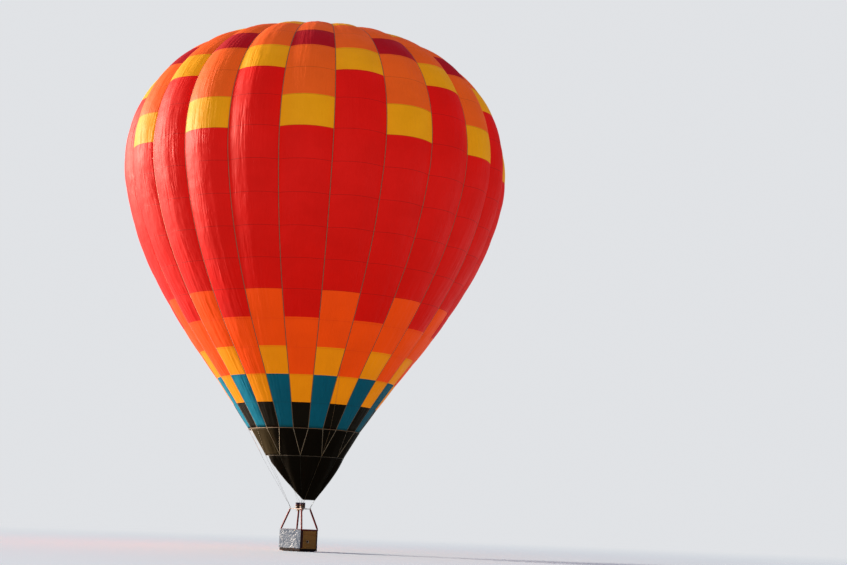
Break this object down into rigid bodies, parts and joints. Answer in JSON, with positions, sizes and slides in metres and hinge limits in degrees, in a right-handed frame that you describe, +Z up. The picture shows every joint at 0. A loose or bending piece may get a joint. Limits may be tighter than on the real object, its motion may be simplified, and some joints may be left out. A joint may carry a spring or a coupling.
{
  "type": "hot air balloon",
  "caption": "Hot air balloon with a striped fabric envelope, skirt and wind scoop, twin burner on gimbals and a wicker basket on leather-covered uprights.",
  "frame": {"origin": "on the balloon's vertical axis at the height of the envelope's widest ring, where the air carries it", "axes": "+Z up along the axis, +X along the basket's long side towards the scoop, +Y across the basket, away from the side with the banner"},
  "size_m": [20.2038, 20.2038, 27.341],
  "materials": {
    "gore_a_cloth": "striped coated cloth",
    "gore_b_cloth": "striped coated cloth",
    "tape_webbing": "woven webbing",
    "vent_cloth": "coated cloth",
    "skirt_cloth": "flame-proof cloth",
    "stay_wire": "stranded wire",
    "frame_steel": "satin",
    "burner_steel": "heat-stained",
    "red_leather": "stitched hide",
    "wicker": "woven cane",
    "floor_wood": "oiled plywood",
    "dark_hide": "rough hide",
    "banner_cloth": "plain cloth",
    "cylinder_aluminium": "brushed"
  },
  "bodies": {
    "balloon": {"gore_01_a": "gore_a_cloth", "gore_02_b": "gore_b_cloth", "gore_03_a": "gore_a_cloth", "gore_04_b": "gore_b_cloth", "gore_05_a": "gore_a_cloth", "gore_06_b": "gore_b_cloth", "gore_07_a": "gore_a_cloth", "gore_08_b": "gore_b_cloth", "gore_09_a": "gore_a_cloth", "gore_10_b": "gore_b_cloth", "gore_11_a": "gore_a_cloth", "gore_12_b": "gore_b_cloth", "gore_13_a": "gore_a_cloth", "gore_14_b": "gore_b_cloth", "gore_15_a": "gore_a_cloth", "gore_16_b": "gore_b_cloth", "gore_17_a": "gore_a_cloth", "gore_18_b": "gore_b_cloth", "gore_19_a": "gore_a_cloth", "gore_20_b": "gore_b_cloth", "gore_21_a": "gore_a_cloth", "gore_22_b": "gore_b_cloth", "gore_23_a": "gore_a_cloth", "gore_24_b": "gore_b_cloth", "load_tapes": "tape_webbing", "skirt": "skirt_cloth", "scoop": "skirt_cloth", "stays_rear_right": "stay_wire", "stays_rear_left": "stay_wire", "stays_front_left": "stay_wire", "stays_front_right": "stay_wire", "burner_frame": "frame_steel", "upright_rear_right": "red_leather", "upright_rear_left": "red_leather", "upright_front_left": "red_leather", "upright_front_right": "red_leather", "basket_walls": "wicker", "floor_and_runners": "floor_wood", "foot_edging": "dark_hide", "rim_and_corner_guards": "red_leather", "banner": "banner_cloth", "fuel_cylinder_rear_right": "cylinder_aluminium", "fuel_cylinder_rear_left": "cylinder_aluminium", "fuel_cylinder_front_left": "cylinder_aluminium", "fuel_cylinder_front_right": "cylinder_aluminium"},
    "vent": {"vent_panel": "vent_cloth"},
    "gimbal": {"gimbal_ring": "frame_steel"},
    "burner": {"double_burner": "burner_steel"}
  },
  "joints": [
    {"name": "vent_pull", "type": "slide", "parent": "balloon", "child": "vent", "axis": [0, 0, -1], "range_m": [0, 1.2], "stiffness_N_per_m": 60, "springref_m": -2.5},
    {"name": "gimbal_swing", "type": "hinge", "parent": "balloon", "child": "gimbal", "pos_m": [0, 0, -17.55231], "axis": [1, 0, 0], "range_deg": [-20, 20]},
    {"name": "burner_swing", "type": "hinge", "parent": "gimbal", "child": "burner", "pos_m": [0, 0, -17.55231], "axis": [0, 1, 0], "range_deg": [-20, 20]}
  ]
}
